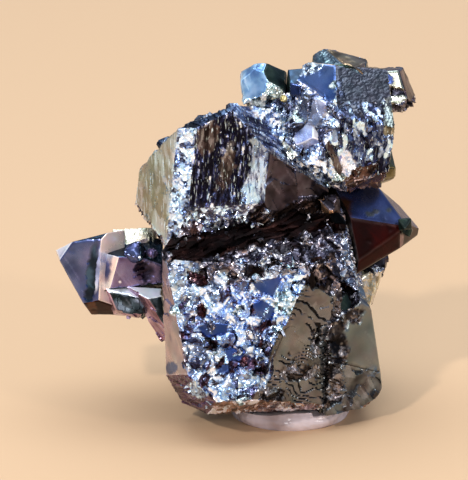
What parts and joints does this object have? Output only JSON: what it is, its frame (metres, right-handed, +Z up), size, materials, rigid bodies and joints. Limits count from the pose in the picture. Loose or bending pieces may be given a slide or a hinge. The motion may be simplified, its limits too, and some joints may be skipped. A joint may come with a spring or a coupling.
{
  "type": "carrollite crystal cluster",
  "caption": "Cluster of intergrown metallic octahedral crystals with rough and smooth faces, standing upright in a flattened blob of mounting putty.",
  "frame": {"origin": "centre of the putty's flat underside, on the surface that the specimen stands on", "axes": "+Z up, -Y towards the side that shows best, with the small crystal group out to -X"},
  "size_m": [0.0272, 0.0185, 0.028],
  "materials": {
    "crystal_cluster": "metallic steel grey with a blue, brown and olive tarnish",
    "mounting_putty": "glossy grey-lilac putty"
  },
  "bodies": {
    "root": {"crystal_cluster": "crystal_cluster", "mounting_putty": "mounting_putty"}
  },
  "joints": []
}
